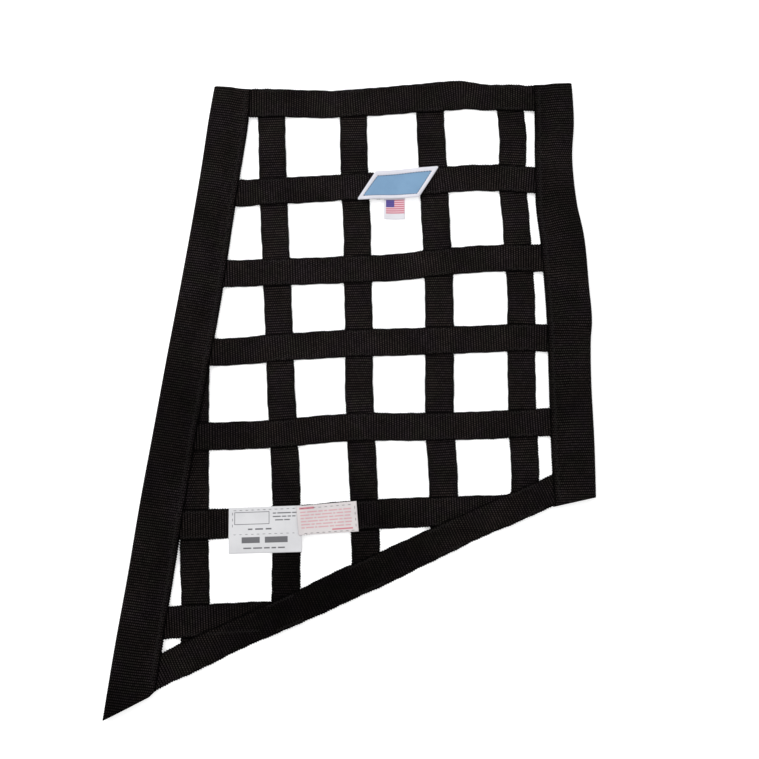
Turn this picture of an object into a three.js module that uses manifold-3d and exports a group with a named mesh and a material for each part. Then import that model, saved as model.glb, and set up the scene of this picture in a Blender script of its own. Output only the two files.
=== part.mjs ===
// Racing window net: a grid of flat webbing sewn between two rod sleeves, lying face up.
// Millimetres. The net rests on z = 0, x runs to the right and y runs to the net's top edge.

import * as THREE from 'three';
import Module from 'manifold-3d';

const wasm = await Module();
wasm.setup();

// Webbing and labels
const inch = 25.4;
const ribbonWidth = inch;
const webbingThickness = 1.4;
const labelThickness = 1;
const layerGap = 0.3;
const webbingPitch = webbingThickness + layerGap;
const labelPitch = labelThickness + layerGap;

// How one layer of cloth climbs over another
const shoulder = 2;
const ramp = 22;
const uprightArch = 1.6;
const archStart = 9;
const archReach = 15;

// Sleeves: webbing folded over a rod pocket, with the ribbon ends sewn in at the inner edge
const seamDepth = 9;
const pocketStart = 20;
const pocketHeight = 7.4;
const foldSegments = 6;

// Steps along a ribbon and along a sleeve
const ribbonStep = 6;
const uprightStep = 9;
const sleeveStep = 15;
const labelStep = 6;
const bandStep = 10;

// Layers from the surface up
const rank = {
  surface: 0,
  sleeveUnder: 0,
  upright: 1,
  row: 2,
  slant: 3,
  flag: 4,
  sleeveOver: 4,
  patch: 5,
  certificate: 5,
  smallLabel: 6,
};

// Rows 2 to 6 of the grid: y at the left end, at uprights 1 to 4 and at the right end.
// bow is how far each stretch between those points bends towards the top edge. A row without a
// width of its own is as wide as a ribbon.
const rows = [
  { left: -147, right: 156, y: [171.4, 174.1, 178.4, 183.8, 185.9, 183.1], bow: [0, 0.4, 0, 2.5, 0] },
  { left: -158, right: 161, y: [96.1, 98.2, 101, 107.1, 111.4, 110.6], bow: [0.2, 0.2, -0.9, 1.5, 0] },
  { left: -168, right: 164, y: [23.5, 28.7, 33, 35.1, 37.9, 37], bow: [-0.6, 0.5, 0, 0.2, 0] },
  { left: -180, right: 166, y: [-52.5, -48.7, -43.1, -42.6, -39.9, -38], bow: [0, 0.9, 0, 0, 0.2] },
  {
    left: -191,
    right: 150,
    y: [-130.5, -126.4, -120.9, -118, -116, -115.5],
    bow: [0, 0, 0, 0, 0],
    width: 26.6,
  },
];

// Short row at the foot of the net, which ends under the slanted ribbon
const footRow = [
  { x: -203, y: -215.6, width: 28.4 },
  { x: -161, y: -212.7, width: 28 },
  { x: -103, y: -209.3, width: 26.4 },
  { x: -40, y: -206, width: inch },
];

// Uprights 1 to 4: x at the top ribbon and at rows 2 to 6, and the foot under the slanted ribbon.
// bow is how far each stretch bends to the right.
const uprightTop = 267;
const uprights = [
  { x: [-101, -97.6, -93.7, -90.1, -85.8, -82.3], bow: [0, 0, 0, -0.4, 0.8], foot: { x: -82, y: -216 } },
  {
    x: [-24.4, -22.6, -20.1, -18.3, -16.8, -13.1],
    bow: [-0.4, 0.9, 0, -0.9, 0],
    foot: { x: -11.4, y: -188 },
  },
  {
    x: [46.4, 50, 53.5, 54.4, 53.9, 57.4],
    bow: [-0.4, -0.3, 0, -0.3, 0.6],
    foot: { x: 59, y: -154 },
    width: 26.2,
  },
  {
    x: [120.1, 122.2, 126.8, 128, 128.1, 129.3],
    bow: [2.3, 0.4, 1.3, 0, 0.8],
    foot: { x: 129.4, y: -124 },
  },
];

// Upright at the left, which comes out from under the left sleeve
const sleeveUpright = [
  { x: -165.6, y: 34 },
  { x: -165.3, y: -16 },
  { x: -164.5, y: -69 },
  { x: -163.6, y: -112 },
  { x: -163, y: -155 },
  { x: -161.2, y: -197 },
  { x: -160.6, y: -256 },
];

// Top ribbon, a little wider than the rest where it waves
const topRibbon = [
  { x: -138, y: 257.9, width: 27.6 },
  { x: -100, y: 258.6, width: 27.6 },
  { x: -65, y: 258.4, width: 27.2 },
  { x: -40, y: 257.7, width: 26.8 },
  { x: -9, y: 259.9, width: 27.2 },
  { x: 24, y: 262.8, width: 28.1 },
  { x: 48, y: 263.9, width: 28.6 },
  { x: 68, y: 266.4, width: 29 },
  { x: 80, y: 266.7, width: 27.7 },
  { x: 102, y: 264.3, width: 25.4 },
  { x: 124, y: 263.7, width: 25.6 },
  { x: 153, y: 262.8, width: 25.4 },
];

// Slanted ribbon along the net's lower edge
const slantedRibbon = [
  { x: -214, y: -267.6, width: 28 },
  { x: -193, y: -256.7, width: 26.4 },
  { x: -167, y: -244.2, width: 28 },
  { x: -128, y: -226, width: 26.6 },
  { x: -111, y: -218.3, width: 26.8 },
  { x: -61, y: -196.5, width: 27.8 },
  { x: -30, y: -181.9, width: 28.6 },
  { x: 2, y: -167.9, width: 28.3 },
  { x: 44, y: -148, width: 27.1 },
  { x: 86, y: -128.6, width: 25.8 },
  { x: 118, y: -114.9, width: 26.2 },
  { x: 143, y: -104, width: 26 },
  { x: 172, y: -91, width: 26 },
];

// Sleeves: x of the inner edge and of the folded outer edge, down the net
const leftSleeve = [
  { y: 280, inner: -119, outer: -152.4 },
  { y: 241, inner: -121.4, outer: -158.4 },
  { y: 195, inner: -127.6, outer: -164.2 },
  { y: 150, inner: -133.5, outer: -170.6 },
  { y: 83, inner: -142, outer: -181 },
  { y: 16, inner: -152.3, outer: -192 },
  { y: -48, inner: -162.6, outer: -202 },
  { y: -112, inner: -171.9, outer: -212.1 },
  { y: -175, inner: -180.7, outer: -221 },
  { y: -236, inner: -189, outer: -230.4 },
  { y: -304, inner: -197.4, outer: -239.8 },
];
const rightSleeve = [
  { y: 282, inner: 143, outer: 178.5 },
  { y: 241, inner: 143.8, outer: 180 },
  { y: 206, inner: 143.3, outer: 177.7 },
  { y: 161, inner: 143.4, outer: 181.1 },
  { y: 128, inner: 146.8, outer: 187.2 },
  { y: 83, inner: 149.9, outer: 190.3 },
  { y: 54, inner: 151.3, outer: 192.1 },
  { y: 36, inner: 151.7, outer: 190.6 },
  { y: 0, inner: 152, outer: 190 },
  { y: -59, inner: 152.8, outer: 191.5 },
  { y: -120, inner: 154.7, outer: 191.6 },
];

// Cut ends of the sleeves, each as two points on the cut
const leftSleeveTop = { from: { x: -119, y: 271.2 }, to: { x: -154, y: 273.3 } };
const leftSleeveFoot = { from: { x: -238.5, y: -297.1 }, to: { x: -203, y: -279.4 } };
const leftSleeveCorner = { from: { x: -200.5, y: -278.6 }, to: { x: -192, y: -270.4 } };
const rightSleeveTop = { from: { x: 178, y: 276.2 }, to: { x: 143, y: 275.3 } };
const rightSleeveFoot = { from: { x: 155.2, y: -113.7 }, to: { x: 191.5, y: -105.7 } };

// Cut ends of the ribbons: inside the sleeves, and under the slanted ribbon above its lower edge
const leftSeamEnd = {
  from: { x: -119.6 - seamDepth, y: 265 },
  to: { x: -188.9 - seamDepth, y: -236 },
};
const rightSeamEnd = {
  from: { x: 154 + seamDepth, y: -100 },
  to: { x: 143.6 + seamDepth, y: 200 },
};
const slantedEnd = { from: { x: -191, y: -265 }, to: { x: 156, y: -108 } };

// Labels, each from its corners: top left, top right, bottom right, bottom left
const patchCorners = [[-3.5, 192.8], [55, 197.5], [36.2, 167.5], [-20.8, 165.2]];
const flagCorners = [[4, 171], [23.3, 171.6], [23.3, 147.9], [4, 147.8]];
const certificateCorners = [[-133.2, -115], [-68.8, -112.8], [-68, -153.2], [-132.9, -155]];
const smallLabelCorners = [[-73.5, -113.6], [-20.4, -108.9], [-18.3, -135.3], [-71, -138.8]];
const patchThickness = 1.5;

const webbingBlack = new THREE.Color(0.020, 0.018, 0.019);
const labelWhite = new THREE.Color(0.78, 0.79, 0.8);
const patchBlue = new THREE.Color(0.18, 0.38, 0.6);

const net = new THREE.Group();
const bands = [];

function clamp(value) {
  return Math.min(Math.max(value, 0), 1);
}

function smooth(value) {
  const part = clamp(value);
  return part * part * (3 - 2 * part);
}

function mix(a, b, part) {
  return a + (b - a) * part;
}

// Distance from a point to the edge of a band of cloth, negative inside it
function distanceToBand(band, x, y) {
  let nearest = Infinity;
  for (let i = 1; i < band.path.length; i += 1) {
    const start = band.path[i - 1];
    const end = band.path[i];
    const dx = end.x - start.x;
    const dy = end.y - start.y;
    const along = clamp(((x - start.x) * dx + (y - start.y) * dy) / (dx * dx + dy * dy));
    const aside = Math.hypot(x - start.x - dx * along, y - start.y - dy * along);
    nearest = Math.min(nearest, aside - mix(start.half, end.half, along));
  }
  return nearest;
}

// Height of the cloth that lies under a piece of the given rank
function heightUnder(x, y, pieceRank) {
  let height = 0;
  for (const band of bands) {
    if (band.rank < pieceRank) {
      const beyond = distanceToBand(band, x, y) - shoulder;
      height += band.pitch * (1 - smooth(beyond / ramp));
    }
  }
  return height;
}

// An upright arches a little off the surface between the rows that cross it
function archAt(x, y) {
  let openness = 1;
  for (const band of bands) {
    if (band.rank !== rank.upright) {
      openness = Math.min(openness, smooth((distanceToBand(band, x, y) - archStart) / archReach));
    }
  }
  return uprightArch * openness;
}

function addMesh(name, vertices, triangles, color, roughness) {
  const geometry = new THREE.BufferGeometry();
  geometry.setAttribute('position', new THREE.Float32BufferAttribute(vertices, 3));
  geometry.setIndex(triangles);
  geometry.computeVertexNormals();
  const material = new THREE.MeshStandardMaterial({ color, roughness, metalness: 0 });
  const mesh = new THREE.Mesh(geometry, material);
  mesh.name = name;
  net.add(mesh);
}

// Keeps what lies to the left of each cut, looking from its first point to its second
function trimmed(vertices, triangles, cuts) {
  const shape = new wasm.Mesh({
    numProp: 3,
    vertProperties: new Float32Array(vertices),
    triVerts: new Uint32Array(triangles),
  });
  let solid = new wasm.Manifold(shape);
  for (const { from, to } of cuts) {
    const normal = [from.y - to.y, to.x - from.x, 0];
    const length = Math.hypot(normal[0], normal[1]);
    solid = solid.trimByPlane(normal, (normal[0] * from.x + normal[1] * from.y) / length);
  }
  const result = solid.getMesh();
  return { vertices: Array.from(result.vertProperties), triangles: Array.from(result.triVerts) };
}

// Skins a sheet of cloth from a grid of places, each with its underside height
function slab(grid, thickness) {
  const vertices = [];
  const triangles = [];
  const along = grid.length;
  const across = grid[0].length;
  const under = (i, j) => 2 * (i * across + j);
  const over = (i, j) => under(i, j) + 1;
  const quad = (a, b, c, d) => triangles.push(a, b, c, a, c, d);
  for (const line of grid) {
    for (const { x, y, z } of line) {
      vertices.push(x, y, z, x, y, z + thickness);
    }
  }
  for (let i = 0; i < along - 1; i += 1) {
    for (let j = 0; j < across - 1; j += 1) {
      quad(over(i, j), over(i + 1, j), over(i + 1, j + 1), over(i, j + 1));
      quad(under(i, j), under(i, j + 1), under(i + 1, j + 1), under(i + 1, j));
    }
    quad(under(i, 0), under(i + 1, 0), over(i + 1, 0), over(i, 0));
    quad(under(i + 1, across - 1), under(i, across - 1), over(i, across - 1), over(i + 1, across - 1));
  }
  for (let j = 0; j < across - 1; j += 1) {
    quad(under(0, j + 1), under(0, j), over(0, j), over(0, j + 1));
    quad(under(along - 1, j), under(along - 1, j + 1), over(along - 1, j + 1), over(along - 1, j));
  }
  return { vertices, triangles };
}

// A ribbon's middle line as a smooth curve, with the width carried in its third value
function ribbonCurve(points) {
  return new THREE.CatmullRomCurve3(
    points.map(({ x, y, width = ribbonWidth }) => new THREE.Vector3(x, y, width)),
    false,
    'centripetal',
  );
}

function addBand(curve, bandRank) {
  const count = Math.ceil(curve.getLength() / bandStep);
  const path = curve.getSpacedPoints(count).map(({ x, y, z }) => ({ x, y, half: z / 2 }));
  bands.push({ path, rank: bandRank, pitch: webbingPitch });
}

// Adds a mid point to each stretch that bows, shifted across the ribbon
function withBows(points, bow, shift) {
  const result = [points[0]];
  for (let i = 1; i < points.length; i += 1) {
    const start = points[i - 1];
    const end = points[i];
    if (bow[i - 1]) {
      result.push({
        x: (start.x + end.x) / 2 + bow[i - 1] * shift.x,
        y: (start.y + end.y) / 2 + bow[i - 1] * shift.y,
        width: start.width,
      });
    }
    result.push(end);
  }
  return result;
}

function addRibbon({ name, curve, pieceRank, step, across = 1, arched = false, cuts = [] }) {
  const count = Math.ceil(curve.getLength() / step);
  const grid = [];
  for (let i = 0; i <= count; i += 1) {
    const middle = curve.getPointAt(i / count);
    const heading = curve.getTangentAt(i / count);
    const length = Math.hypot(heading.x, heading.y);
    const line = [];
    for (let j = 0; j <= across; j += 1) {
      const offset = middle.z * (j / across - 0.5);
      const x = middle.x - (heading.y / length) * offset;
      const y = middle.y + (heading.x / length) * offset;
      const arch = arched ? archAt(x, y) : 0;
      line.push({ x, y, z: heightUnder(x, y, pieceRank) + arch });
    }
    grid.push(line);
  }
  const cloth = slab(grid, webbingThickness);
  const { vertices, triangles } = trimmed(cloth.vertices, cloth.triangles, cuts);
  addMesh(name, vertices, triangles, webbingBlack, 0.85);
}

// The inner and outer edge of a sleeve at a height y
function sleeveEdges(table, y) {
  let i = 1;
  while (i < table.length - 1 && table[i].y > y) {
    i += 1;
  }
  const above = table[i - 1];
  const below = table[i];
  const part = (above.y - y) / (above.y - below.y);
  return { inner: mix(above.inner, below.inner, part), outer: mix(above.outer, below.outer, part) };
}

// One closed section of a sleeve: under layer, fold at the outer edge and over layer
function sleeveSection(table, y) {
  const { inner, outer } = sleeveEdges(table, y);
  const side = Math.sign(outer - inner);
  const width = Math.abs(outer - inner);
  const foldRadius = pocketHeight / 2;
  const straight = width - foldRadius;
  const overStops = [0, seamDepth / 2, seamDepth, 13, 16.5, pocketStart, straight];
  const overUnderside = (stop) => {
    const seam = heightUnder(inner + side * stop, y, rank.sleeveOver);
    const rise = smooth((stop - seamDepth) / (pocketStart - seamDepth));
    return mix(seam, pocketHeight - webbingThickness, rise);
  };
  const section = [[0, 0], [straight, 0]];
  for (let i = 1; i < foldSegments; i += 1) {
    const angle = (Math.PI * i) / foldSegments;
    section.push([straight + foldRadius * Math.sin(angle), foldRadius * (1 - Math.cos(angle))]);
  }
  for (const stop of [...overStops].reverse()) {
    section.push([stop, overUnderside(stop) + webbingThickness]);
  }
  for (const stop of overStops) {
    section.push([stop, overUnderside(stop)]);
  }
  const innerRadius = foldRadius - webbingThickness;
  for (let i = foldSegments - 1; i > 0; i -= 1) {
    const angle = (Math.PI * i) / foldSegments;
    section.push([straight + innerRadius * Math.sin(angle), foldRadius - innerRadius * Math.cos(angle)]);
  }
  section.push([straight, webbingThickness], [0, webbingThickness]);
  return section.map(([stop, z]) => [inner + side * stop, y, z]);
}

function addSleeve(name, table, cuts) {
  const top = table[0].y;
  const foot = table[table.length - 1].y;
  const count = Math.ceil((top - foot) / sleeveStep);
  const sections = [];
  for (let i = 0; i <= count; i += 1) {
    sections.push(sleeveSection(table, mix(top, foot, i / count)));
  }
  const size = sections[0].length;
  const outline = sections[0].map(([x, , z]) => new THREE.Vector2(x, z));
  const cap = THREE.ShapeUtils.triangulateShape(outline, []);
  const mirrored = THREE.ShapeUtils.isClockWise(outline);
  const last = count * size;
  const triangles = cap.flatMap(([a, b, c]) => [a, c, b, last + a, last + b, last + c]);
  const face = (a, b, c) => triangles.push(...(mirrored ? [a, c, b] : [a, b, c]));
  for (let i = 0; i < count; i += 1) {
    for (let j = 0; j < size; j += 1) {
      const here = i * size + j;
      const next = i * size + ((j + 1) % size);
      face(here, next, next + size);
      face(here, next + size, here + size);
    }
  }
  const { vertices, triangles: kept } = trimmed(sections.flat(2), triangles, cuts);
  addMesh(name, vertices, kept, webbingBlack, 0.85);
}

function addSleeveBand(table) {
  const path = table.map(({ y, inner, outer }) => ({
    x: (inner + outer) / 2,
    y,
    half: Math.abs(outer - inner) / 2,
  }));
  bands.push({ path, rank: rank.sleeveUnder, pitch: webbingPitch });
}

// A label as a grid between its four corners
function labelGrid(corners, pieceRank) {
  const [topLeft, topRight, footRight, footLeft] = corners;
  const along = Math.ceil(Math.hypot(topRight[0] - topLeft[0], topRight[1] - topLeft[1]) / labelStep);
  const across = Math.ceil(Math.hypot(footLeft[0] - topLeft[0], footLeft[1] - topLeft[1]) / labelStep);
  const grid = [];
  for (let i = 0; i <= along; i += 1) {
    const line = [];
    for (let j = 0; j <= across; j += 1) {
      const [x, y] = [0, 1].map((axis) => {
        const atFoot = mix(footLeft[axis], footRight[axis], i / along);
        const atTop = mix(topLeft[axis], topRight[axis], i / along);
        return mix(atFoot, atTop, j / across);
      });
      line.push({ x, y, z: heightUnder(x, y, pieceRank) });
    }
    grid.push(line);
  }
  return grid;
}

function addLabel(name, corners, pieceRank, thickness, color) {
  const { vertices, triangles } = slab(labelGrid(corners, pieceRank), thickness);
  addMesh(name, vertices, triangles, color, 0.6);
}

// A label's own place in the stack, as a band from its left side to its right side
function addLabelBand(corners, bandRank) {
  const [topLeft, topRight, footRight, footLeft] = corners;
  const half = Math.abs(topLeft[1] - footLeft[1]) / 2;
  const left = { x: (topLeft[0] + footLeft[0]) / 2, y: (topLeft[1] + footLeft[1]) / 2, half };
  const right = { x: (topRight[0] + footRight[0]) / 2, y: (topRight[1] + footRight[1]) / 2, half };
  bands.push({ path: [left, right], rank: bandRank, pitch: labelPitch });
}

const rowCurves = rows.map(({ left, right, y, bow, width }, j) => {
  const crossings = uprights.map((upright, i) => ({ x: upright.x[j + 1], y: y[i + 1], width }));
  const points = [{ x: left, y: y[0], width }, ...crossings, { x: right, y: y[y.length - 1], width }];
  return ribbonCurve(withBows(points, bow, { x: 0, y: 1 }));
});
const uprightCurves = uprights.map(({ x, bow, foot, width }, i) => {
  const crossings = rows.map((row, j) => ({ x: x[j + 1], y: row.y[i + 1], width }));
  const points = [{ x: x[0], y: uprightTop, width }, ...crossings, { ...foot, width }];
  return ribbonCurve(withBows(points, [...bow, 0], { x: 1, y: 0 }));
});
const footRowCurve = ribbonCurve(footRow);
const sleeveUprightCurve = ribbonCurve(sleeveUpright);
const topCurve = ribbonCurve(topRibbon);
const slantedCurve = ribbonCurve(slantedRibbon);

addSleeveBand(leftSleeve);
addSleeveBand(rightSleeve);
uprightCurves.forEach((curve) => addBand(curve, rank.upright));
addBand(sleeveUprightCurve, rank.upright);
rowCurves.forEach((curve) => addBand(curve, rank.row));
addBand(footRowCurve, rank.row);
addBand(topCurve, rank.row);
addBand(slantedCurve, rank.slant);
addLabelBand(flagCorners, rank.flag);
addLabelBand(certificateCorners, rank.certificate);

uprightCurves.forEach((curve, i) => {
  addRibbon({
    name: `upright_${i + 1}`,
    curve,
    pieceRank: rank.surface,
    step: uprightStep,
    arched: true,
    cuts: [slantedEnd],
  });
});
addRibbon({
  name: 'upright_at_sleeve',
  curve: sleeveUprightCurve,
  pieceRank: rank.upright,
  step: ribbonStep,
  across: 4,
  cuts: [slantedEnd, leftSeamEnd],
});
rowCurves.forEach((curve, i) => {
  const rightEnd = i === rowCurves.length - 1 ? slantedEnd : rightSeamEnd;
  addRibbon({
    name: `row_${i + 2}`,
    curve,
    pieceRank: rank.row,
    step: ribbonStep,
    cuts: [leftSeamEnd, rightEnd],
  });
});
addRibbon({
  name: 'row_7',
  curve: footRowCurve,
  pieceRank: rank.row,
  step: ribbonStep,
  cuts: [leftSeamEnd, slantedEnd],
});
addRibbon({
  name: 'top_ribbon',
  curve: topCurve,
  pieceRank: rank.row,
  step: ribbonStep,
  cuts: [leftSeamEnd, rightSeamEnd],
});
addRibbon({
  name: 'slanted_ribbon',
  curve: slantedCurve,
  pieceRank: rank.slant,
  step: ribbonStep,
  across: 3,
  cuts: [leftSeamEnd, rightSeamEnd],
});
addSleeve('sleeve_left', leftSleeve, [leftSleeveTop, leftSleeveFoot, leftSleeveCorner]);
addSleeve('sleeve_right', rightSleeve, [rightSleeveTop, rightSleeveFoot]);
addLabel('flag_tab', flagCorners, rank.flag, labelThickness, labelWhite);
addLabel('name_patch', patchCorners, rank.patch, patchThickness, patchBlue);
addLabel('certificate_label', certificateCorners, rank.certificate, labelThickness, labelWhite);
addLabel('small_label', smallLabelCorners, rank.smallLabel, labelThickness, labelWhite);

// The origin is under the middle of the net
const box = new THREE.Box3().setFromObject(net);
const middle = box.getCenter(new THREE.Vector3());
net.position.set(-middle.x, -middle.y, -box.min.z);
net.updateMatrixWorld(true);

export default net;
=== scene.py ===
"""Racing window net: a grid of flat webbing sewn between two rod sleeves, lying face up.

The tables repeat the part's own, in millimetres. Everything is built in metres, where the part lies.
"""

import math

import bmesh
import bpy
import numpy as np
from mathutils import Matrix, Vector


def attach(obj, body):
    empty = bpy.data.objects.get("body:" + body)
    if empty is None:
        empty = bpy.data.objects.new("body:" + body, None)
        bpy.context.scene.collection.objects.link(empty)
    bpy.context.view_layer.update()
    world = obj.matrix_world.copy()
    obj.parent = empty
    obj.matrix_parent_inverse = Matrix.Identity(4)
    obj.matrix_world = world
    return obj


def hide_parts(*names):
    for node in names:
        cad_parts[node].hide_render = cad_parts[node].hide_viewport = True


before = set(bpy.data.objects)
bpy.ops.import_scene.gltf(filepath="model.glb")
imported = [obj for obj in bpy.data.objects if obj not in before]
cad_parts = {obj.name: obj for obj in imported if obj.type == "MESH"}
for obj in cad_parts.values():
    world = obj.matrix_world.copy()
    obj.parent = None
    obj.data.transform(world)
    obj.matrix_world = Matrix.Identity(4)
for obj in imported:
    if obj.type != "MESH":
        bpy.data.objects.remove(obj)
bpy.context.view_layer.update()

# Millimetres of the tables to metres of the scene, and where their zero lies
MM = 0.001
NET_SHIFT = np.array([23.5307, 8.1678, 0.0])

# Webbing and labels
INCH = 25.4
WEBBING = 1.4
LAYER_GAP = 0.3
WEBBING_PITCH = WEBBING + LAYER_GAP
LABEL_PITCH = 1.3
LABEL_THICKNESS = 0.55
LABEL_LIFT = 0.25

# How one layer of cloth climbs over another
SHOULDER = 1.0
RAMP = 8.0
LABEL_RAMP = 22.0
UPRIGHT_ARCH = 1.4
ARCH_START = 9.0
ARCH_REACH = 15.0

# Bands of cloth that others lie on: spacing of their points, and how near a piece they have to be
BAND_STEP = 10.0
BAND_MARGIN = 60

# Curves through the tables' points: steps from each point to the next, and the reach of a heading
CURVE_STEPS = 24
HEADING_REACH = 2.5

# Ribs of the weave: spacing, depth and how far they scallop the selvage
RIB_PITCH = 2.29
STATIONS_PER_RIB = 4
RIB_DEPTH = 0.2
SCALLOP = 0.8
SELVAGE = 0.6

# Where the rows of points lie across a ribbon and across a sleeve's two layers, as shares of the
# width, and how thin the cloth is in the last two rows before a selvage
RIBBON_FRACTIONS = np.array([-1, -0.93, -0.8, -0.64, -0.43, -0.21, 0, 0.21, 0.43, 0.64, 0.8, 0.93, 1])
UNDER_FRACTIONS = np.array([0, 0.02, 0.06, 0.2, 0.4, 0.6, 0.8, 1])
OVER_FRACTIONS = np.concatenate([np.linspace(1, 0.55, 6), np.linspace(0.5, 0, 14) ** 1.15])
AT_OVER_EDGE = 0.06
FOLD_POINTS = 9
SELVAGE_THINNING = (0.62, 0.92)

# Sleeves: webbing folded over a rod pocket, with the ribbon ends sewn in at the inner edge
SEAM_DEPTH = 9.0
POCKET_START = 20.0
POCKET_HEIGHT = 7.4
SLEEVE_WEBBING_WIDTH = 3 * INCH

RANK = {
    "surface": 0,
    "sleeve_under": 0,
    "upright": 1,
    "row": 2,
    "slant": 3,
    "flag": 4,
    "sleeve_over": 4,
    "patch": 5,
    "certificate": 5,
    "small_label": 6,
}

# Rows 2 to 6: x of both ends, y at the left end, at uprights 1 to 4 and at the right end, and the bow
# between them
ROWS = [
    {
        "ends": (-147, 156),
        "y": [171.4, 174.1, 178.4, 183.8, 185.9, 183.1],
        "bow": [0, 0.4, 0, 2.5, 0],
    },
    {
        "ends": (-158, 161),
        "y": [96.1, 98.2, 101, 107.1, 111.4, 110.6],
        "bow": [0.2, 0.2, -0.9, 1.5, 0],
    },
    {
        "ends": (-168, 164),
        "y": [23.5, 28.7, 33, 35.1, 37.9, 37],
        "bow": [-0.6, 0.5, 0, 0.2, 0],
    },
    {
        "ends": (-180, 166),
        "y": [-52.5, -48.7, -43.1, -42.6, -39.9, -38],
        "bow": [0, 0.9, 0, 0, 0.2],
    },
    {
        "ends": (-191, 150),
        "y": [-130.5, -126.4, -120.9, -118, -116, -115.5],
        "bow": [0, 0, 0, 0, 0],
        "width": 26.6,
    },
]
FOOT_ROW = [(-203, -215.6, 28.4), (-161, -212.7, 28), (-103, -209.3, 26.4), (-40, -206, INCH)]

# Uprights 1 to 4: x at the top ribbon and at rows 2 to 6, and the foot under the slanted ribbon
UPRIGHTS = [
    {
        "x": [-101, -97.6, -93.7, -90.1, -85.8, -82.3],
        "bow": [0, 0, 0, -0.4, 0.8],
        "foot": (-82, -216),
    },
    {
        "x": [-24.4, -22.6, -20.1, -18.3, -16.8, -13.1],
        "bow": [-0.4, 0.9, 0, -0.9, 0],
        "foot": (-11.4, -188),
    },
    {
        "x": [46.4, 50, 53.5, 54.4, 53.9, 57.4],
        "bow": [-0.4, -0.3, 0, -0.3, 0.6],
        "foot": (59, -154),
        "width": 26.2,
    },
    {
        "x": [120.1, 122.2, 126.8, 128, 128.1, 129.3],
        "bow": [2.3, 0.4, 1.3, 0, 0.8],
        "foot": (129.4, -124),
    },
]
UPRIGHT_TOP = 267
SLEEVE_UPRIGHT = [
    (-165.6, 34, INCH),
    (-165.3, -16, INCH),
    (-164.5, -69, INCH),
    (-163.6, -112, INCH),
    (-163, -155, INCH),
    (-161.2, -197, INCH),
    (-160.6, -256, INCH),
]
TOP_RIBBON = [
    (-138, 257.9, 27.6),
    (-100, 258.6, 27.6),
    (-65, 258.4, 27.2),
    (-40, 257.7, 26.8),
    (-9, 259.9, 27.2),
    (24, 262.8, 28.1),
    (48, 263.9, 28.6),
    (68, 266.4, 29),
    (80, 266.7, 27.7),
    (102, 264.3, 25.4),
    (124, 263.7, 25.6),
    (153, 262.8, 25.4),
]
SLANTED_RIBBON = [
    (-214, -267.6, 28),
    (-193, -256.7, 26.4),
    (-167, -244.2, 28),
    (-128, -226, 26.6),
    (-111, -218.3, 26.8),
    (-61, -196.5, 27.8),
    (-30, -181.9, 28.6),
    (2, -167.9, 28.3),
    (44, -148, 27.1),
    (86, -128.6, 25.8),
    (118, -114.9, 26.2),
    (143, -104, 26),
    (172, -91, 26),
]

# Sleeves: y, x of the inner edge and x of the folded outer edge, down the net
LEFT_SLEEVE = [
    (280, -119, -152.4),
    (241, -121.4, -158.4),
    (195, -127.6, -164.2),
    (150, -133.5, -170.6),
    (83, -142, -181),
    (16, -152.3, -192),
    (-48, -162.6, -202),
    (-112, -171.9, -212.1),
    (-175, -180.7, -221),
    (-236, -189, -230.4),
    (-304, -197.4, -239.8),
]
RIGHT_SLEEVE = [
    (282, 143, 178.5),
    (241, 143.8, 180),
    (206, 143.3, 177.7),
    (161, 143.4, 181.1),
    (128, 146.8, 187.2),
    (83, 149.9, 190.3),
    (54, 151.3, 192.1),
    (36, 151.7, 190.6),
    (0, 152, 190),
    (-59, 152.8, 191.5),
    (-120, 154.7, 191.6),
]

# Cut ends, each as two points on the cut. What lies to the left, looking along it, is kept.
LEFT_SLEEVE_TOP = ((-119, 271.2), (-154, 273.3))
LEFT_SLEEVE_FOOT = ((-238.5, -297.1), (-203, -279.4))
LEFT_SLEEVE_CORNER = ((-200.5, -278.6), (-192, -270.4))
RIGHT_SLEEVE_TOP = ((178, 276.2), (143, 275.3))
RIGHT_SLEEVE_FOOT = ((155.2, -113.7), (191.5, -105.7))
LEFT_SEAM_END = ((-119.6 - SEAM_DEPTH, 265), (-188.9 - SEAM_DEPTH, -236))
RIGHT_SEAM_END = ((154 + SEAM_DEPTH, -100), (143.6 + SEAM_DEPTH, 200))
SLANTED_END = ((-191, -265), (156, -108))

# Labels, each from its corners: top left, top right, bottom right, bottom left
PATCH = [(-3.5, 192.8), (55, 197.5), (36.2, 167.5), (-20.8, 165.2)]
PATCH_WINDOW = [(-1.6, 188), (47.8, 192.7), (34.2, 170.8), (-14.6, 169.1)]
FLAG = [(4, 171), (23.3, 171.6), (23.3, 147.9), (4, 147.8)]
CERTIFICATE = [(-133.2, -115), (-68.8, -112.8), (-68, -153.2), (-132.9, -155)]
SMALL_LABEL = [(-73.5, -113.6), (-20.4, -108.9), (-18.3, -135.3), (-71, -138.8)]
LABEL_STEP = 0.9
CERTIFICATE_CURL = 0.8
FLAG_CURL = 0.3

# The patch: its cloth, its rounded corners and the thread that is wrapped round its border
PATCH_THICKNESS = 1.2
PATCH_LIFT = 0.1
PATCH_CORNER = 1.1
WINDOW_CORNER = 0.5
BORDER_STEP = 0.28
BORDER_HEIGHT = 1.05
BORDER_BULGE = 0.75
BORDER_AROUND = 16
WRAP_SWELL = 0.04
WRAP_PITCH = 1.12

# Thickness of the threads, how deep they sink in webbing and how high they lie on labels
THREAD = 0.55
LABEL_THREAD = 0.45
PATCH_THREAD = 0.75
THREAD_SINK = 0.05
LABEL_THREAD_LIFT = 0.05
PATCH_THREAD_LIFT = 0.25
THREAD_REACH = 0.54

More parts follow.
